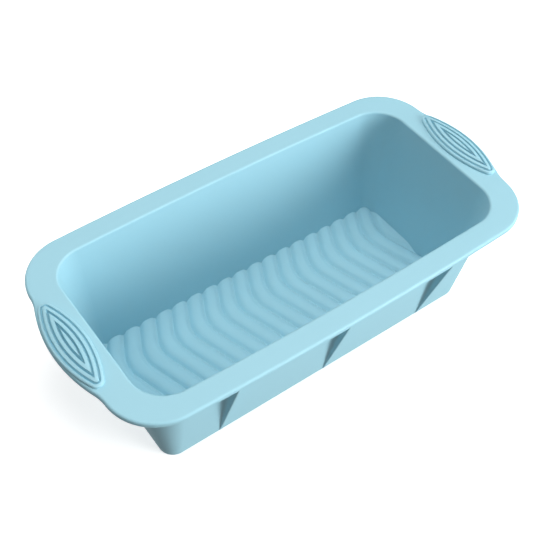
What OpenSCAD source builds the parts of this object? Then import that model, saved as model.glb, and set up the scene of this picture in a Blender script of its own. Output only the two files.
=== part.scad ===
// Silicone soap mould: a loaf tub with draft, a flat rim with two grips, six ribs and a waved floor.
// Millimetres. The base stands on z = 0, +X runs along the loaf, +Z is up, the opening faces up.
// The real thing is one moulding. Each part here is one region of it, and regions meet face to face.

/* [Tub] */

// Length of the opening, inside, at the top of the rim
opening_len = 228; // [180:1:280]

// Width of the opening, inside, at the top of the rim
opening_wid = 106.6; // [90:0.1:130]

// Corner radius of the opening at the top of the rim
opening_r = 19.6; // [19:0.1:28]

// Height from the base to the top of the rim
tub_h = 73.5; // [60:0.5:80]

// How far each wall leans in, on the outside, from the top of the rim to the base
wall_lean = 12.3; // [8:0.1:12.6]

// Wall thickness under the rim, measured level
wall_t = 2.2; // [1.6:0.1:3]

// Wall thickness at the base, measured level
wall_low_t = 3.2; // [2.2:0.1:3.8]

// Radius where the inside of the wall meets the floor
floor_fillet = 6.6; // [4:0.1:7]

/* [Floor] */

// Thickness of the flat floor under the waves
slab_t = 1.5; // [1.2:0.1:3]

// Thin web that joins the waves at their valleys
web_t = 0.4; // [0.3:0.1:1]

// Height of a wave above its valley
wave_h = 1.8; // [0.8:0.1:2.2]

// Width of one wave
wave_wid = 9.2; // [6:0.1:9.3]

// Distance from one wave to the next along the loaf
wave_pitch = 10.9; // [10.5:0.1:14]

// Shift of the middle wave to the right of the middle of the tub
wave_shift = 1.8; // [0:0.1:3]

// Bend radius of a wave, seen from above
wave_bend_r = 24; // [14:1:30]

// Distance of the bend from the middle of the loaf, toward the back wall
wave_bend_y = 16.4; // [0:0.1:20]

// Angle of the front leg of a wave
wave_front_angle = 17.2; // [5:0.1:25]

// Angle of the back leg of a wave
wave_back_angle = 26.6; // [5:0.1:28]

/* [Rim] */

// Thickness of the rim
rim_t = 3.3; // [2.4:0.1:5]

// Width of the rim beyond the opening, on the ends
rim_end = 15.8; // [12:0.05:22]

// Width of the rim beyond the opening, on the long sides at the corners
rim_side = 12.2; // [8:0.1:16]

// How far the long sides bow out at the middle
rim_bow = 1.8; // [0.5:0.1:3]

// Corner radius of the rim
rim_r = 28.8; // [24:0.2:34]

// How far each end of the rim bulges out to carry its grip
tab_out = 7; // [5:0.1:9]

// Radius of the bulge, seen from above
tab_r = 85.5; // [75:0.5:100]

/* [Grips] */

// Distance from the outer edge of the bulge to the middle line of the grip
grip_in = 9.6; // [9.5:0.1:12]

// Height of the grip above the rim, at its middle line
grip_h = 2.4; // [1.8:0.1:3.5]

// Half width of the grip
grip_half_wid = 9.4; // [8.2:0.1:9.4]

// Extra radius from the middle line to the centre of each grip arc
grip_arc = 57; // [50:1:65]

// Radius of the rounded tips of the grip
grip_tip_r = 3.9; // [3.3:0.1:4.4]

// Drop of the crown from the middle line to the edge of the grip
grip_crown = 0.7; // [0.2:0.1:0.9]

// Depth of the grip grooves below the middle line
groove_depth = 1.2; // [0.6:0.1:1.4]

// Width of each grip groove
groove_wid = 1; // [0.6:0.1:1.4]

// Distance from the middle line to the first groove
groove_first = 1.6; // [1.2:0.1:1.9]

// Distance from one groove to the next
groove_pitch = 2.85; // [2.4:0.05:2.9]

/* [Ribs] */

// Thickness of a rib
rib_t = 2; // [1.6:0.1:4]

// Distance between neighbouring ribs
rib_pitch = 70.3; // [50:0.1:78]

// Gap from the outer edge of the rim to the top of a rib
rib_inset = 2.8; // [1:0.1:5]

// Height of the lower tip of a rib
rib_foot = 2; // [1.6:0.1:10]

/* [Hidden] */

$fn = 96;

// Half sizes of the tub, inside, at the top of the rim
in_x = opening_len / 2;
in_y = opening_wid / 2;

// The corner axes stand upright, so every corner of the tub is a cone
axis_x = in_x - opening_r;
axis_y = in_y - opening_r;

// Lean of the wall per millimetre of height, outside and inside, and the lean angle inside
out_lean = wall_lean / tub_h;
in_lean = out_lean + (wall_low_t - wall_t) / tub_h;
lean_angle = atan(in_lean);

// Radius of the inside and outside corner cones at a height z
function in_r(z) = opening_r - in_lean * (tub_h - z);
function out_r(z) = opening_r + wall_t - out_lean * (tub_h - z);

// Underside of the rim
rim_z = tub_h - rim_t;

// Pocket for the waves: it ends where the floor fillet is as high as the waves
wave_top = slab_t + web_t + wave_h;
fillet_flat = floor_fillet * tan((90 - lean_angle) / 2);
fillet_rise = floor_fillet - (wave_top - slab_t);
fillet_reach = fillet_flat - sqrt(pow(floor_fillet, 2) - pow(fillet_rise, 2));
pocket_r = round(10 * (in_r(slab_t) - fillet_reach)) / 10;

// The fillet is a hair larger than one that only touches the wall, so it crosses it cleanly
fillet_skin = 0.02;

// A wave is part of a round bar; this is the radius of the bar
bar_r = (pow(wave_wid / 2, 2) + pow(wave_h, 2)) / (2 * wave_h);
wave_sink = 0.2;
bend_skin = 0.06;
bend_lap = 2;
wave_count = ceil(in_x / wave_pitch);
leg_len = 2 * in_y;

// Rim outline: corner centres, and the large circle that bows the long sides
rim_x = in_x + rim_end;
rim_y = in_y + rim_side;
corner_x = rim_x - rim_r;
corner_y = rim_y - rim_r;
bow_r = (pow(corner_x, 2) + pow(rim_bow, 2)) / (2 * rim_bow);
bow_lap = 0.9;

// Bulge: centre of its circle, and the straight ramp that joins it to the corner
tab_x = rim_x + tab_out - tab_r;
tab_join_y = sqrt(pow(tab_r, 2) - pow(rim_x - tab_x, 2));
ramp_tab_y = tab_join_y - 5.5;
ramp_tab_x = tab_x + sqrt(pow(tab_r, 2) - pow(ramp_tab_y, 2));
ramp_rise = 3.4;
ramp_corner_y = corner_y + ramp_rise;
ramp_corner_x = corner_x + sqrt(pow(rim_r, 2) - pow(ramp_rise, 2));
ramp_x = ramp_corner_x - ramp_tab_x;
ramp_y = ramp_corner_y - ramp_tab_y;
ramp_lap = 0.15;

// Middle line of the grips, and the big bar that crowns them
grip_x = rim_x + tab_out - grip_in;
crown_r = (pow(grip_half_wid, 2) + pow(grip_crown, 2)) / (2 * grip_crown);
tip_y = sqrt(pow(grip_arc + grip_half_wid - grip_tip_r, 2) - pow(grip_arc, 2));

// Colours
silicone = [0.62, 0.82, 0.89];
silicone_deep = [0.52, 0.75, 0.83];

// A solid block with leaning sides and cone corners, r_low at z_low growing to r_high at z_high
module lean_block(r_low, z_low, r_high, z_high) {
  rise = z_high - z_low;
  for (sx = [-1, 1])
    for (sy = [-1, 1])
      translate([sx * axis_x, sy * axis_y, z_low])
        cylinder(r1 = r_low, r2 = r_high, h = rise);
  translate([0, axis_y, 0])
    rotate([90, 0, 0])
      linear_extrude(2 * axis_y)
        lean_side(axis_x, r_low, z_low, r_high, z_high);
  translate([-axis_x, 0, 0])
    rotate([90, 0, 90])
      linear_extrude(2 * axis_x)
        lean_side(axis_y, r_low, z_low, r_high, z_high);
}

// Cross section of that block
module lean_side(axis, r_low, z_low, r_high, z_high) {
  polygon([
    [-axis - r_low, z_low],
    [axis + r_low, z_low],
    [axis + r_high, z_high],
    [-axis - r_high, z_high]
  ]);
}

// Everything inside the outer skin of the tub, between two heights
module tub_outside(z_low, z_high) {
  lean_block(out_r(z_low), z_low, out_r(z_high), z_high);
}

// Cross section of the hollow, from a corner axis outward: flat floor, fillet, leaning wall
module hollow_half() {
  high = tub_h + 1;
  flat = in_r(slab_t) - fillet_flat;
  mid = slab_t + floor_fillet;
  intersection() {
    translate([0, slab_t])
      square([in_r(high) + 1, high - slab_t]);
    union() {
      polygon([
        [0, slab_t],
        [flat, slab_t],
        [flat, mid],
        [flat + floor_fillet * cos(lean_angle), mid - floor_fillet * sin(lean_angle)],
        [in_r(high), high],
        [0, high]
      ]);
      translate([flat, mid])
        circle(r = floor_fillet + fillet_skin);
    }
  }
}

module hollow_side(axis) {
  translate([axis, 0])
    hollow_half();
  mirror([1, 0])
    translate([axis, 0])
      hollow_half();
  translate([-axis, slab_t])
    square([2 * axis, tub_h + 1 - slab_t]);
}

// The hollow of the tub, open at the top
module hollow() {
  for (sx = [-1, 1])
    for (sy = [-1, 1])
      translate([sx * axis_x, sy * axis_y, 0])
        rotate_extrude()
          hollow_half();
  translate([0, axis_y, 0])
    rotate([90, 0, 0])
      linear_extrude(2 * axis_y)
        hollow_side(axis_x);
  translate([-axis_x, 0, 0])
    rotate([90, 0, 90])
      linear_extrude(2 * axis_x)
        hollow_side(axis_y);
}

// Upright pocket that holds the waves
module wave_pocket(z_low, z_high) {
  translate([0, 0, z_low])
    linear_extrude(z_high - z_low) {
      square([2 * axis_x, 2 * (axis_y + pocket_r)], center = true);
      square([2 * (axis_x + pocket_r), 2 * axis_y], center = true);
      for (sx = [-1, 1])
        for (sy = [-1, 1])
          translate([sx * axis_x, sy * axis_y])
            circle(r = pocket_r);
    }
}

// Cross section of one wave, grown all round by skin
module wave_section(skin = 0) {
  intersection() {
    translate([0, wave_h - bar_r])
      circle(r = bar_r + skin);
    translate([-wave_wid, -wave_sink])
      square([2 * wave_wid, wave_h + 1]);
  }
}

// One wave: a front leg, a bend and a back leg, with the bend at x = 0.
// The bend is a hair thicker than the legs and laps over their ends.
module wave() {
  translate([wave_bend_r, wave_bend_y, slab_t + web_t]) {
    rotate([0, 0, 180 - wave_back_angle - bend_lap])
      rotate_extrude(angle = wave_front_angle + wave_back_angle + 2 * bend_lap)
        translate([wave_bend_r, 0])
          wave_section(bend_skin);
    rotate([0, 0, 180 - wave_back_angle])
      translate([wave_bend_r, 0, 0])
        rotate([90, 0, 0])
          linear_extrude(leg_len)
            wave_section();
    rotate([0, 0, 180 + wave_front_angle])
      translate([wave_bend_r, leg_len, 0])
        rotate([90, 0, 0])
          linear_extrude(leg_len)
            wave_section();
  }
}

// Plan of the middle of the rim, with the straight ramps that join the bulges to the corners
module rim_middle() {
  in_end_x = ramp_tab_x - ramp_lap * ramp_x;
  in_end_y = ramp_tab_y - ramp_lap * ramp_y;
  in_corner_x = ramp_corner_x + ramp_lap * ramp_x;
  in_corner_y = ramp_corner_y + ramp_lap * ramp_y;
  polygon([
    [in_end_x, -in_end_y],
    [in_end_x, in_end_y],
    [in_corner_x, in_corner_y],
    [-in_corner_x, in_corner_y],
    [-in_end_x, in_end_y],
    [-in_end_x, -in_end_y],
    [-in_corner_x, -in_corner_y],
    [in_corner_x, -in_corner_y]
  ]);
}

// Plan of the rim, without the opening
module rim_outline() {
  intersection() {
    translate([0, rim_y + rim_bow - bow_r])
      circle(r = bow_r, $fn = 3600);
    translate([0, bow_r - rim_y - rim_bow])
      circle(r = bow_r, $fn = 3600);
    square([2 * corner_x + 2 * bow_lap, 4 * rim_y], center = true);
  }
  for (sx = [-1, 1])
    for (sy = [-1, 1])
      translate([sx * corner_x, sy * corner_y])
        circle(r = rim_r);
  for (side = [-1, 1])
    intersection() {
      translate([side * tab_x, 0])
        circle(r = tab_r, $fn = 240);
      square([4 * rim_x, 2 * corner_y], center = true);
    }
  rim_middle();
}

// Pointed almond whose half width is a
module pointed(a) {
  intersection() {
    translate([grip_arc, 0])
      circle(r = grip_arc + a, $fn = 240);
    translate([-grip_arc, 0])
      circle(r = grip_arc + a, $fn = 240);
  }
}

// Almond whose half width is a; wide ones have round tips, all about the same two points
module almond(a) {
  tip_r = grip_tip_r - (grip_half_wid - a);
  if (tip_r > 0.3) {
    join_y = tip_y * (grip_arc + a) / (grip_arc + a - tip_r);
    intersection() {
      pointed(a);
      square([4 * a, 2 * join_y], center = true);
    }
    for (side = [-1, 1])
      translate([0, side * tip_y])
        circle(r = tip_r);
  } else {
    pointed(a);
  }
}

// One almond groove, seen from above, centred a from the middle line
module groove(a) {
  difference() {
    almond(a + groove_wid / 2);
    almond(a - groove_wid / 2);
  }
}

// Grip on the right end: a crowned almond pad with three grooves
module grip_pad() {
  translate([grip_x, 0, tub_h])
    difference() {
      intersection() {
        linear_extrude(grip_h + 1)
          almond(grip_half_wid);
        translate([0, 2 * tip_y, grip_h - crown_r])
          rotate([90, 0, 0])
            cylinder(r = crown_r, h = 4 * tip_y, $fn = 240);
      }
      for (k = [0:2])
        translate([0, 0, grip_h - groove_depth])
          linear_extrude(grip_h)
            groove(groove_first + k * groove_pitch);
    }
}

// Front rib: a thin triangle between the wall and the underside of the rim
module rib(x) {
  translate([x - rib_t / 2, 0, 0])
    rotate([90, 0, 90])
      linear_extrude(rib_t)
        polygon([
          [-axis_y - out_r(rib_foot), rib_foot],
          [-axis_y - out_r(rim_z), rim_z],
          [-rim_y - rim_bow + rib_inset, rim_z]
        ]);
}

module floor_slab() {
  color(silicone_deep)
    tub_outside(0, slab_t);
}

module floor_waves() {
  color(silicone)
    intersection() {
      wave_pocket(slab_t, wave_top + 1);
      union() {
        wave_pocket(slab_t, slab_t + web_t);
        for (k = [-wave_count - 1:wave_count])
          translate([wave_shift + k * wave_pitch, 0, 0])
            wave();
      }
    }
}

module tub_walls() {
  color(silicone)
    difference() {
      tub_outside(slab_t, rim_z);
      hollow();
      wave_pocket(slab_t - 1, wave_top);
    }
}

module rim_flange() {
  color(silicone)
    difference() {
      translate([0, 0, rim_z])
        linear_extrude(rim_t)
          rim_outline();
      hollow();
    }
}

module grip_pad_left() {
  color(silicone_deep)
    mirror([1, 0, 0])
      grip_pad();
}

module grip_pad_right() {
  color(silicone_deep)
    grip_pad();
}

module rib_front_left() {
  color(silicone_deep)
    rib(-rib_pitch);
}

module rib_front_middle() {
  color(silicone_deep)
    rib(0);
}

module rib_front_right() {
  color(silicone_deep)
    rib(rib_pitch);
}

module rib_back_left() {
  color(silicone_deep)
    mirror([0, 1, 0])
      rib(-rib_pitch);
}

module rib_back_middle() {
  color(silicone_deep)
    mirror([0, 1, 0])
      rib(0);
}

module rib_back_right() {
  color(silicone_deep)
    mirror([0, 1, 0])
      rib(rib_pitch);
}

floor_slab();
floor_waves();
tub_walls();
rim_flange();
grip_pad_left();
grip_pad_right();
rib_front_left();
rib_front_middle();
rib_front_right();
rib_back_left();
rib_back_middle();
rib_back_right();
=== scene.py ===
import math

import bpy
import numpy as np
from mathutils import Matrix, Vector


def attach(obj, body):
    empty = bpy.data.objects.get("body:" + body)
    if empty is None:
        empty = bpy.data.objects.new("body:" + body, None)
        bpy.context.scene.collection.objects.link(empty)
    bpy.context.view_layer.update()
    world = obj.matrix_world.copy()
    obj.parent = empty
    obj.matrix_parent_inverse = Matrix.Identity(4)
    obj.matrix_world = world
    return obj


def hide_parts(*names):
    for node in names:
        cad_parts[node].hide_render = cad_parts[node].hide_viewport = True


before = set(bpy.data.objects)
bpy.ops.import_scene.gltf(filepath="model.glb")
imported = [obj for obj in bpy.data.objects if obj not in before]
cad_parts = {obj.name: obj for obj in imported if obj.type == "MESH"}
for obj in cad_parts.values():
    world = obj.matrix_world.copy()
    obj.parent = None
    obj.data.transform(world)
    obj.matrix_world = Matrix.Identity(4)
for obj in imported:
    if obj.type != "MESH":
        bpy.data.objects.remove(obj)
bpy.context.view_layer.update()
print("frame loaded")

mm = 0.001

# Segments of a quarter loop: half an end, a corner, half a long side
loopSteps = {"endHalf": 48, "corner": 32, "longHalf": 60}
quarterCount = sum(loopSteps.values()) + 1

# The tub, in millimetres. Each row is height, half length, half width at the corners,
# corner radius and bow of the long sides (above 0); the walls are straight between rows.
tub = {
    "height": 73.5,
    "rimUnder": 70.2,
    "slabTop": 1.5,
    "insideHigh": (73.5, 114.05, 52.7, 19.4, 1.5),
    "insideLow": (3.7, 101.2, 39.9, 7.2, 0.1),
    "outsideHigh": (73.5, 116.2, 54.9, 21.8, 1.5),
    "outsideLow": (0.0, 103.5, 43.8, 8.5, 0.1),
}


# A rounded rectangle whose long sides are shallow arcs. The corner is a circle, and the
# side arc touches it: sideR = (cx^2 + (r + bow)^2 - r^2) / (2 bow), measured from the
# corner centre (cx, cy). A quarter is worked out and mirrored twice.
def loopPoints(halfLength, halfWidth, cornerRadius, bow):
    cx = halfLength - cornerRadius
    cy = halfWidth - cornerRadius
    sideR = (cx**2 + (cornerRadius + bow) ** 2 - cornerRadius**2) / (2 * bow)
    sideY = halfWidth + bow - sideR
    touch = math.atan2(cy - sideY, cx)
    endT = np.linspace(0, 1, loopSteps["endHalf"] + 1)[:-1]
    cornerA = np.linspace(0, touch, loopSteps["corner"] + 1)[:-1]
    sideA = np.linspace(touch, math.pi / 2, loopSteps["longHalf"] + 1)
    endX = np.full(len(endT), halfLength)
    cornerX = cx + cornerRadius * np.cos(cornerA)
    cornerY = cy + cornerRadius * np.sin(cornerA)
    x = np.concatenate([endX, cornerX, sideR * np.cos(sideA)])
    y = np.concatenate([endT * cy, cornerY, sideY + sideR * np.sin(sideA)])
    return mirrorQuarter(np.stack([x, y], axis=1))


# A quarter from (+x, 0) to (0, +y) becomes a whole loop, anticlockwise from above
def mirrorQuarter(quarter):
    second = quarter[:0:-1] * (-1, 1)
    third = quarter[:-1] * (-1, -1)
    fourth = quarter[:0:-1] * (1, -1)
    return np.concatenate([quarter[:-1], second, third, fourth])


# A level section of a straight-sided cone: the two rows are mixed in step with height
def sectionAt(low, high, z):
    share = (z - low[0]) / (high[0] - low[0])
    values = [a + (b - a) * share for a, b in zip(low[1:], high[1:])]
    return loopPoints(*values)


# Level sections of the tub's inner face and, in the next function, of its outer face
def insideAt(z):
    return sectionAt(tub["insideLow"], tub["insideHigh"], z)


def outsideAt(z):
    return sectionAt(tub["outsideLow"], tub["outsideHigh"], z)


# Outward normals of a closed anticlockwise loop: the tangent turned a quarter turn right
def loopNormals(loop):
    tangent = np.roll(loop, -1, axis=0) - np.roll(loop, 1, axis=0)
    normal = np.stack([tangent[:, 1], -tangent[:, 0]], axis=1)
    return normal / np.linalg.norm(normal, axis=1, keepdims=True)


# A ring at height z, moved outward by grow along the loop's normals
def ring(loop, z, grow=0.0):
    flat = loop + loopNormals(loop) * grow if grow else loop
    return np.column_stack([flat, np.full(len(flat), z)])


# Quads between neighbouring rings; wrap joins the last ring to the first
def ringFaces(ringCount, pointCount, wrap):
    rows = ringCount if wrap else ringCount - 1
    i, j = np.meshgrid(np.arange(rows), np.arange(pointCount), indexing="ij")
    nextI = (i + 1) % ringCount
    nextJ = (j + 1) % pointCount
    low, high = i * pointCount, nextI * pointCount
    quads = np.stack([low + j, low + nextJ, high + nextJ, high + j], axis=-1)
    return quads.reshape(-1, 4)


# A mesh from points in millimetres; edges that turn more than sharpAngle degrees stay crisp
def makePiece(name, points, faces, node, sharpAngle=50):
    mesh = bpy.data.meshes.new(name)
    mesh.from_pydata((np.asarray(points) * mm).tolist(), [], faces)
    mesh.validate()
    mesh.update()
    mesh.shade_smooth()
    mesh.set_sharp_from_angle(angle=math.radians(sharpAngle))
    piece = bpy.data.objects.new(name, mesh)
    bpy.context.scene.collection.objects.link(piece)
    mesh.materials.append(silicone)
    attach(piece, "root")
    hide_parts(node)
    print("made", name, len(mesh.polygons), "faces")
    return piece


# Rings listed so that the skin faces out; capped with one flat face at each end, or wrapped
def ringPiece(name, rings, node, wrap=False, sharpAngle=50):
    points = np.concatenate(rings)
    count = len(rings[0])
    faces = ringFaces(len(rings), count, wrap).tolist()
    if not wrap:
        last = (len(rings) - 1) * count
        faces.append(list(range(count))[::-1])
        faces.append(list(range(last, last + count)))
    return makePiece(name, points, faces, node, sharpAngle)


# Colours are linear; grainDepth is in metres, and the scales are repeats in a metre
siliconeLook = {
    "colour": (0.350, 0.621, 0.718, 1.0),
    "deep": (0.330, 0.603, 0.702, 1.0),
    "roughness": 0.5,
    "roughLess": 0.05,
    "roughMore": 0.06,
    "shine": 0.28,
    "grainScale": 2600.0,
    "grainDepth": 0.00003,
    "grainStrength": 0.35,
    "grainDetail": 2.0,
    "swirlScale": 14.0,
    "swirlDetail": 3.0,
}


# Matte silicone: two close blues mixed by a slow noise, and a fine noise as its grain
def makeSilicone(look):
    material = bpy.data.materials.new("blueSilicone")
    material.use_nodes = True
    nodes = material.node_tree.nodes
    links = material.node_tree.links
    shader = nodes["Principled BSDF"]
    shader.inputs["Specular IOR Level"].default_value = look["shine"]
    place = nodes.new("ShaderNodeTexCoord")
    swirl = nodes.new("ShaderNodeTexNoise")
    swirl.inputs["Scale"].default_value = look["swirlScale"]
    swirl.inputs["Detail"].default_value = look["swirlDetail"]
    tint = nodes.new("ShaderNodeMix")
    tint.data_type = "RGBA"
    tint.inputs["A"].default_value = look["deep"]
    tint.inputs["B"].default_value = look["colour"]
    links.new(place.outputs["Object"], swirl.inputs["Vector"])
    links.new(swirl.outputs["Fac"], tint.inputs["Factor"])
    links.new(tint.outputs["Result"], shader.inputs["Base Color"])
    grain = nodes.new("ShaderNodeTexNoise")
    grain.inputs["Scale"].default_value = look["grainScale"]
    grain.inputs["Detail"].default_value = look["grainDetail"]
    links.new(place.outputs["Object"], grain.inputs["Vector"])
    bump = nodes.new("ShaderNodeBump")
    bump.inputs["Strength"].default_value = look["grainStrength"]
    bump.inputs["Distance"].default_value = look["grainDepth"]
    links.new(grain.outputs["Fac"], bump.inputs["Height"])
    links.new(bump.outputs["Normal"], shader.inputs["Normal"])
    satin = nodes.new("ShaderNodeMapRange")
    satin.inputs["To Min"].default_value = look["roughness"] - look["roughLess"]
    satin.inputs["To Max"].default_value = look["roughness"] + look["roughMore"]
    links.new(swirl.outputs["Fac"], satin.inputs["Value"])
    links.new(satin.outputs["Result"], shader.inputs["Roughness"])
    return material


silicone = makeSilicone(siliconeLook)

rim = {
    "cornerCentre": (101.0, 36.7),
    "cornerRadius": 28.8,
    "bow": 1.8,
    "tabRadius": 85.7,  # the bulge that carries a grip pad
    "tabReach": 136.8,
    "blendRadius": 26.0,  # the hollow between the bulge and the corner
    "topRound": 1.3,
    "lowRound": 0.8,
    "mouthRound": 1.3,
    "roundSteps": 7,
    # Where rings stand across the top and across the underside, as shares of the way
    "topShares": (0.04, 0.12, 0.3, 0.5, 0.7, 0.88, 0.96),
    "underShares": (0.04, 0.3, 0.6, 0.9),
    # Fine points on the bulge and the hollow, from which the even ones are taken
    "bulgePoints": 400,
    "blendPoints": 200,
}


# The outer edge of the rim: a long-side arc that touches the corner circle, the corner
# circle, a hollow blend circle and the bulge of the grip, each touching the next.
def rimOutline(r):
    cx, cy = r["cornerCentre"]
    radius = r["cornerRadius"]
    sideR = (cx**2 + (radius + r["bow"]) ** 2 - radius**2) / (2 * r["bow"])
    sideY = cy + radius + r["bow"] - sideR
    touch = math.atan2(cy - sideY, cx)
    tabX = r["tabReach"] - r["tabRadius"]
    # The blend centre: reachTab from the bulge's centre and reachCorner from the corner's
    tabR, blendR = r["tabRadius"], r["blendRadius"]
    reachTab = tabR + blendR
    reachCorner = radius + blendR
    span = math.hypot(cx - tabX, cy)
    along = (reachTab**2 - reachCorner**2 + span**2) / (2 * span)
    off = math.sqrt(reachTab**2 - along**2)
    ux, uy = (cx - tabX) / span, cy / span
    bx, by = tabX + along * ux + off * uy, along * uy - off * ux
    tabA = math.atan2(by, bx - tabX)
    startA = math.atan2(cy - by, cx - bx)
    cornerStart = math.atan2(by - cy, bx - cx)
    bulgeA = np.linspace(0, tabA, r["bulgePoints"])
    blendA = np.linspace(tabA + math.pi, startA % (2 * math.pi), r["blendPoints"])
    endX = np.concatenate([tabX + tabR * np.cos(bulgeA), bx + blendR * np.cos(blendA)])
    endY = np.concatenate([tabR * np.sin(bulgeA), by + blendR * np.sin(blendA)])
    length = np.concatenate([[0], np.cumsum(np.hypot(np.diff(endX), np.diff(endY)))])
    even = np.linspace(0, length[-1], loopSteps["endHalf"] + 1)[:-1]
    endX, endY = np.interp(even, length, endX), np.interp(even, length, endY)
    cornerA = np.linspace(cornerStart, touch, loopSteps["corner"] + 1)[:-1]
    sideA = np.linspace(touch, math.pi / 2, loopSteps["longHalf"] + 1)
    x = np.concatenate([endX, cx + radius * np.cos(cornerA), sideR * np.cos(sideA)])
    y = np.concatenate([endY, cy + radius * np.sin(cornerA), sideY + sideR * np.sin(sideA)])
    return mirrorQuarter(np.stack([x, y], axis=1))


# Quarter round of radius 1 in even steps: sine and cosine of an angle from 0 to 90 degrees
def quarterRound(steps):
    a = np.linspace(0, math.pi / 2, steps + 1)
    return np.sin(a), np.cos(a)


# The rim: a closed profile carried round the tub, from the mouth over the top to the edge
def makeRim(r):
    outline = rimOutline(r)
    top, under = tub["height"], tub["rimUnder"]
    topRound, lowRound = r["topRound"], r["lowRound"]
    across, up = quarterRound(r["roundSteps"])
    mouth = r["mouthRound"]
    mouthLoop = insideAt(top - mouth)
    rings = []
    # Mouth rounding, from the upright wall to the level top
    for a, b in zip(up, across):
        rings.append(ring(mouthLoop, top - mouth + mouth * b, mouth * (1 - a)))
    # Across the top, over the outer edge, and back along the underside
    inner = rings[-1]
    outer = ring(outline, top, -topRound)
    for share in r["topShares"]:
        rings.append(inner + (outer - inner) * share)
    for a, b in zip(across, up):
        rings.append(ring(outline, top - topRound * (1 - b), -topRound * (1 - a)))
    for a, b in zip(up, across):
        rings.append(ring(outline, under + lowRound * (1 - b), -lowRound * (1 - a)))
    lastOuter = rings[-1]
    innerLow = ring(insideAt(under), under)
    for share in r["underShares"]:
        rings.append(lastOuter + (innerLow - lastOuter) * share)
    rings.append(innerLow)
    rings = rings[::-1]
    return ringPiece("rimFlange", rings, "rim_flange", wrap=True)


makeRim(rim)

walls = {"levels": 24, "underFillet": 2.2, "filletSteps": 8}


# The tub wall: outside from the floor up with a fillet into the rim, inside down again
def makeWalls(w):
    low, high = tub["slabTop"], tub["rimUnder"]
    fillet = w["underFillet"]
    rings = [ring(outsideAt(z), z) for z in np.linspace(low, high - fillet, w["levels"])]
    across, up = quarterRound(w["filletSteps"])
    for a, b in list(zip(across, up))[1:]:
        z = high - fillet + fillet * a
        rings.append(ring(outsideAt(z), z, fillet * (1 - b)))
    rings += [ring(insideAt(z), z) for z in np.linspace(high, low, w["levels"])]
    return ringPiece("tubWalls", rings, "tub_walls", wrap=True)


makeWalls(walls)

slab = {"edgeRound": 1.3, "roundSteps": 8}


# The flat floor: the outside of the tub carried down and rounded under
def makeSlab(s):
    radius = s["edgeRound"]
    across, up = quarterRound(s["roundSteps"])
    rings = []
    for a, b in zip(across, up):
        z = radius - radius * b
        rings.append(ring(outsideAt(z), z, -radius * (1 - a)))
    rings.append(ring(outsideAt(tub["slabTop"]), tub["slabTop"]))
    return ringPiece("floorSlab", rings, "floor_slab")


makeSlab(slab)

waves = {
    "pitch": 10.9,
    "shift": 1.5,
    "valley": 1.7,  # over the surface that the tub stands on
    "height": 2.5,
    "crestPower": 2.8,
    "valleyRound": 0.35,
    "bendY": 16.4,
    "bendRadius": 24.0,
    "frontSlope": -0.31,  # sideways run of a leg for each step toward the back
    "backSlope": 0.5,
    "columns": 440,
    "rows": 96,
    "cornerRows": 10,
    "tuck": 0.4,  # how far the waves run into the wall
    "sharpAngle": 70,
}


# The line that every wave follows across the floor, x as a function of y: two straight
# legs and a circle of bendRadius that touches both, with its middle at bendY
def waveLine(y, w):
    front, back = math.atan(w["frontSlope"]), math.atan(w["backSlope"])
    t = y - w["bendY"]
    radius = w["bendRadius"]
    lowT, highT = radius * math.sin(front), radius * math.sin(back)
    middle = radius - np.sqrt(radius**2 - np.clip(t, lowT, highT) ** 2)
    frontLeg = np.minimum(t - lowT, 0) * w["frontSlope"]
    backLeg = np.maximum(t - highT, 0) * w["backSlope"]
    return middle + frontLeg + backLeg


# Height of the waves: valley, plus a broad crest height (1 - |2 p|^crestPower), where p
# runs from -1/2 to 1/2 over a pitch, and neighbours joined by a smooth maximum
def waveHeight(x, y, w):
    p = (x - w["shift"] - waveLine(y, w)) / w["pitch"]
    p = np.abs(p - np.round(p))
    own = w["height"] * (1 - (2 * p) ** w["crestPower"])
    other = w["height"] * (1 - (2 * (1 - p)) ** w["crestPower"])
    soft = w["valleyRound"]
    rounding = np.maximum(soft - np.abs(own - other), 0) ** 2 / (4 * soft)
    return w["valley"] + np.maximum(own, other) + rounding


# A grid over the rounded floor: rows follow y, and each row's columns are spread over its
# own length; a skirt and one flat face close it underneath
def makeWaves(w):
    z, halfLength, halfWidth, radius = tub["insideLow"][:4]
    halfLength, halfWidth = halfLength + w["tuck"], halfWidth + w["tuck"]
    corner = np.linspace(0, math.pi / 2, w["cornerRows"] + 1)[1:]
    cy = halfWidth - radius
    upperY = cy + radius * np.sin(corner)
    upperX = halfLength - radius + radius * np.cos(corner)
    y = np.concatenate([-upperY[::-1], np.linspace(-cy, cy, w["rows"]), upperY])
    reach = np.concatenate([upperX[::-1], np.full(w["rows"], halfLength), upperX])
    u = np.linspace(-1, 1, w["columns"] + 1)
    gridX = reach[:, None] * u[None, :]
    gridY = np.repeat(y[:, None], len(u), axis=1)
    gridZ = waveHeight(gridX, gridY, w)
    top = np.stack([gridX, gridY, gridZ], axis=-1).reshape(-1, 3)
    rowCount, columnCount = gridX.shape
    index = np.arange(rowCount * columnCount).reshape(rowCount, columnCount)
    corners = [index[:-1, :-1], index[:-1, 1:], index[1:, 1:], index[1:, :-1]]
    quads = np.stack(corners, axis=-1).reshape(-1, 4)
    border = np.concatenate([index[0, :-1], index[:-1, -1], index[-1, :0:-1], index[:0:-1, 0]])
    under = top[border].copy()
    under[:, 2] = tub["slabTop"]
    lowIndex = len(top) + np.arange(len(border))
    skirt = np.stack([border, lowIndex, np.roll(lowIndex, -1), np.roll(border, -1)], axis=1)
    faces = quads.tolist() + skirt.tolist() + [lowIndex[::-1].tolist()]
    points = np.concatenate([top, under])
    return makePiece("floorWaves", points, faces, "floor_waves", w["sharpAngle"])


makeWaves(waves)

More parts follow.
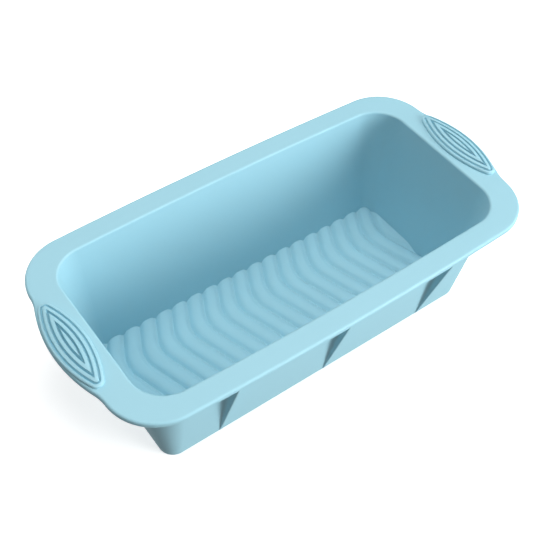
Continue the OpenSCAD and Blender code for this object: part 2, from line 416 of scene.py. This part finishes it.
grip = {
    "centreX": 127.2,
    "arcExtra": 57.0,
    "tipFrom": 5.5,  # lines farther out than this go round the tips
    "edge": 9.4,  # half width of the pad
    "edgeRound": 1.1,
    "sink": 0.8,
    "domeHigh": 2.7,
    "domeLow": 1.4,
    # Distance from the middle line, half width and depth of each groove
    "grooves": ((1.5, 0.65, 2.2), (4.45, 0.65, 2.0), (7.3, 0.65, 1.5)),
    "groovePower": 0.6,
    "quarterPoints": 48,
    # Rings close to the middle line, where they are short, then even ones to the edge
    "middleRings": (0.01, 0.04, 0.09, 0.16, 0.26),
    "firstRing": 0.4,
    "ringCount": 96,
    "roundSteps": 7,
    "arcPoints": 300,
    "tipPoints": 100,
    "sharpAngle": 60,
}


# Height of the grip over the rim, a function of the distance a from the middle line only:
# a shallow dome, less one dip for each groove, ((cos + 1) / 2)^groovePower over its width
def gripHeight(a, g):
    dome = g["domeHigh"] - (g["domeHigh"] - g["domeLow"]) * (a / g["edge"]) ** 2
    for centre, width, depth in g["grooves"]:
        t = np.clip((a - centre) / width, -1, 1)
        dome = dome - depth * ((np.cos(math.pi * t) + 1) / 2) ** g["groovePower"]
    return dome


# The line at distance a from the middle line: a leaf of two arcs of radius arcExtra + a,
# and past tipFrom a small circle round each tip point, spread evenly by length
def leafLoop(a, g):
    extra = g["arcExtra"]
    tipY = math.sqrt((extra + g["tipFrom"]) ** 2 - extra**2)
    tipA = math.atan2(tipY, extra)
    end = math.acos(extra / (extra + a)) if a < g["tipFrom"] else tipA
    arcA = np.linspace(0, end, g["arcPoints"])
    x = (extra + a) * np.cos(arcA) - extra
    y = (extra + a) * np.sin(arcA)
    if a > g["tipFrom"]:
        tipRadius = a - g["tipFrom"]
        turnA = np.linspace(tipA, math.pi / 2, g["tipPoints"])[1:]
        x = np.concatenate([x, tipRadius * np.cos(turnA)])
        y = np.concatenate([y, tipY + tipRadius * np.sin(turnA)])
    length = np.concatenate([[0], np.cumsum(np.hypot(np.diff(x), np.diff(y)))])
    even = np.linspace(0, length[-1], g["quarterPoints"] + 1)
    x, y = np.interp(even, length, x), np.interp(even, length, y)
    return mirrorQuarter(np.stack([x, y], axis=1))


# One grip pad: leaf loops at their heights, a rounded edge sunk into the rim, and a fan of
# triangles to one point in the middle
def makeGrip(name, node, side, g):
    levelEdge = g["edge"] - g["edgeRound"]
    evenRings = np.linspace(g["firstRing"], levelEdge, g["ringCount"])
    a = np.concatenate([g["middleRings"], evenRings])
    loops = [leafLoop(v, g) for v in a]
    heights = list(tub["height"] + gripHeight(a, g))
    edgeTop = heights[-1]
    across, up = quarterRound(g["roundSteps"])
    for s, c in list(zip(across, up))[1:]:
        loops.append(leafLoop(g["edge"] - g["edgeRound"] * (1 - s), g))
        heights.append(edgeTop - g["edgeRound"] * (1 - c))
    loops.append(leafLoop(g["edge"], g))
    heights.append(tub["height"] - g["sink"])
    centre = (side * g["centreX"], 0)
    rings = [ring(loop + centre, z) for loop, z in zip(loops, heights)][::-1]
    count = len(loops[0])
    faces = ringFaces(len(rings), count, False).tolist()
    faces.append(list(range(count))[::-1])
    peak = len(rings) * count
    inner = np.arange(peak - count, peak)
    faces += np.stack([inner, np.roll(inner, -1), np.full(count, peak)], axis=1).tolist()
    middle = np.array([[*centre, tub["height"] + gripHeight(0.0, g)]])
    return makePiece(name, np.concatenate(rings + [middle]), faces, node, g["sharpAngle"])


makeGrip("gripPadLeft", "grip_pad_left", -1, grip)
makeGrip("gripPadRight", "grip_pad_right", 1, grip)

ribs = {
    "thickness": 2.0,
    "pitch": 70.3,
    "topReach": 64.2,  # how far out the free edge is under the rim
    "foot": 2.0,
    "footDeep": 0.4,  # how far the free edge stands off the wall at the foot
    "wallFillet": 3.0,
    "filletShare": 0.6,  # the fillet and the round stay under these shares of the depth
    "edgeRound": 0.6,
    "roundShare": 0.3,
    "levels": 40,
    "arcPoints": 7,
    "into": 0.5,
}


# One rib: level sections stacked up the wall. Each is a plate from the wall to a slanting
# free edge, with a hollow quarter round beside the wall and a rounded free edge.
def makeRib(name, node, x, side, r):
    z = np.linspace(r["foot"], tub["rimUnder"], r["levels"])
    quarters = [outsideAt(v)[quarterCount - 1 :: -1] for v in z]
    wallY = np.array([np.interp(abs(x), q[:, 0], q[:, 1]) for q in quarters])
    share = (z - r["foot"]) / (tub["rimUnder"] - r["foot"])
    footEdge = wallY[0] + r["footDeep"]
    edgeY = footEdge + (r["topReach"] - footEdge) * share
    deep = edgeY - wallY
    half = r["thickness"] / 2
    fillet = np.minimum(r["wallFillet"], deep * r["filletShare"])
    turn = np.minimum(r["edgeRound"], deep * r["roundShare"])
    a = np.linspace(0, math.pi / 2, r["arcPoints"])
    # Half a section, from inside the wall to the free edge: (sideways, out from the wall)
    sideways = np.concatenate([
        (half + fillet)[:, None],
        half + fillet[:, None] * (1 - np.sin(a)),
        half - turn[:, None] * (1 - np.cos(a)),
    ], axis=1)
    out = np.concatenate([
        np.full((len(z), 1), -r["into"]),
        fillet[:, None] * (1 - np.cos(a)),
        deep[:, None] - turn[:, None] * (1 - np.sin(a)),
    ], axis=1)
    sideways = np.concatenate([sideways, -sideways[:, ::-1]], axis=1)
    out = np.concatenate([out, out[:, ::-1]], axis=1)
    pointsX = x + sideways * side
    pointsY = side * (wallY[:, None] + out)
    pointsZ = np.repeat(z[:, None], sideways.shape[1], axis=1)
    rings = list(np.stack([pointsX, pointsY, pointsZ], axis=-1))
    return ringPiece(name, rings, node)


for sideName, side in (("Front", -1), ("Back", 1)):
    for placeName, place in (("Left", -1), ("Middle", 0), ("Right", 1)):
        node = "rib_" + sideName.lower() + "_" + placeName.lower()
        makeRib("rib" + sideName + placeName, node, place * ribs["pitch"], side, ribs)

studio = {
    "floorSize": 2.4,
    "floorColour": (0.80, 0.80, 0.80, 1.0),
    "floorRoughness": 0.9,
    "floorGlow": 0.6,
    "skyAbove": 0.07,
    "skyBelow": 0.37,
    "horizon": 0.05,  # half height of the band between the two, as the sine of its elevation
    "backdrop": 1.0,
    "lightCentre": 0.04,  # height of the point that the lights face, in metres
    # Azimuth from +X and elevation in degrees, distance and size in metres, and share,
    # the brightness that the light gives a white surface that faces it
    "lights": {
        "frontSoftbox": (302, 12, 1.6, 1.0, 1.20),
        "frontTopLight": (300, 48, 1.6, 0.9, 0.15),
        "rightTopLight": (30, 64, 1.6, 0.9, 0.27),
        "overheadLight": (0, 86, 1.6, 0.9, 0.33),
        "backSoftbox": (95, 14, 1.6, 1.0, 0.22),
        "backTopLight": (105, 50, 1.6, 0.9, 0.06),
        "leftTopLight": (180, 52, 1.6, 0.9, 0.17),
    },
}


# A flat square of paper, lit like the object and glowing a little so that shadows stay pale
def makeFloor(s):
    half = s["floorSize"] / 2
    mesh = bpy.data.meshes.new("studioFloor")
    corners = [(-half, -half, 0), (half, -half, 0), (half, half, 0), (-half, half, 0)]
    mesh.from_pydata(corners, [], [(0, 1, 2, 3)])
    floor = bpy.data.objects.new("studioFloor", mesh)
    bpy.context.scene.collection.objects.link(floor)
    paper = bpy.data.materials.new("whitePaper")
    paper.use_nodes = True
    shader = paper.node_tree.nodes["Principled BSDF"]
    shader.inputs["Base Color"].default_value = s["floorColour"]
    shader.inputs["Roughness"].default_value = s["floorRoughness"]
    shader.inputs["Emission Color"].default_value = (1, 1, 1, 1)
    shader.inputs["Emission Strength"].default_value = s["floorGlow"]
    mesh.materials.append(paper)
    # The sky below the horizon gives the light that comes up from the floor
    floor.visible_diffuse = False
    floor.visible_glossy = False


# A disc light on a sphere round the object, facing it; power = share * pi^2 * distance^2
def makeLight(name, azimuth, elevation, distance, size, share):
    az, el = math.radians(azimuth), math.radians(elevation)
    toLight = Vector((math.cos(az) * math.cos(el), math.sin(az) * math.cos(el), math.sin(el)))
    data = bpy.data.lights.new(name, "AREA")
    data.shape = "DISK"
    data.size = size
    data.energy = share * math.pi**2 * distance**2
    light = bpy.data.objects.new(name, data)
    bpy.context.scene.collection.objects.link(light)
    light.location = toLight * distance + Vector((0, 0, studio["lightCentre"]))
    light.rotation_euler = toLight.to_track_quat("Z", "Y").to_euler()


# An even sky, with one strength above the horizon and another below it, and a narrow band
# at the horizon where one turns into the other
def makeSky(s):
    world = bpy.data.worlds.new("studioSky")
    world.use_nodes = True
    nodes, links = world.node_tree.nodes, world.node_tree.links
    place = nodes.new("ShaderNodeTexCoord")
    split = nodes.new("ShaderNodeSeparateXYZ")
    level = nodes.new("ShaderNodeMapRange")
    level.inputs["From Min"].default_value = -s["horizon"]
    level.inputs["From Max"].default_value = s["horizon"]
    level.inputs["To Min"].default_value = s["skyBelow"]
    level.inputs["To Max"].default_value = s["skyAbove"]
    links.new(place.outputs["Generated"], split.inputs["Vector"])
    links.new(split.outputs["Z"], level.inputs["Value"])
    # Behind the floor the camera sees plain white instead of the two strengths
    path = nodes.new("ShaderNodeLightPath")
    seen = nodes.new("ShaderNodeMix")
    seen.inputs["B"].default_value = s["backdrop"]
    links.new(path.outputs["Is Camera Ray"], seen.inputs["Factor"])
    links.new(level.outputs["Result"], seen.inputs["A"])
    links.new(seen.outputs["Result"], nodes["Background"].inputs["Strength"])
    nodes["Background"].inputs["Color"].default_value = (1, 1, 1, 1)
    bpy.context.scene.world = world


makeFloor(studio)
makeSky(studio)
for lightName, values in studio["lights"].items():
    makeLight(lightName, *values)
bpy.context.scene.view_settings.view_transform = "Standard"

# Angles in degrees, lens and sensor in millimetres, aim and distance in metres
view = {
    "azimuth": -38.34,
    "elevation": 50.21,
    "roll": 3.075,
    "lens": 61.57,
    "aim": (-0.0199, -0.0205, 0.0735),
    "distance": 0.4859,
    "sensor": 36.0,
}


# The camera stands on a line through aim, at the azimuth and elevation, rolled about it
def makeCamera(v):
    az, el, roll = (math.radians(v[k]) for k in ("azimuth", "elevation", "roll"))
    back = Vector((math.sin(az) * math.cos(el), -math.cos(az) * math.cos(el), math.sin(el)))
    right = Vector((math.cos(az), math.sin(az), 0))
    up = back.cross(right)
    rolledRight = right * math.cos(roll) + up * math.sin(roll)
    rolledUp = up * math.cos(roll) - right * math.sin(roll)
    data = bpy.data.cameras.new("studioCamera")
    data.lens = v["lens"]
    data.sensor_width = v["sensor"]
    camera = bpy.data.objects.new("studioCamera", data)
    bpy.context.scene.collection.objects.link(camera)
    turn = Matrix((rolledRight, rolledUp, back)).transposed().to_4x4()
    camera.matrix_world = Matrix.Translation(Vector(v["aim"]) + back * v["distance"]) @ turn
    bpy.context.scene.camera = camera


makeCamera(view)
print("stage and camera ready")
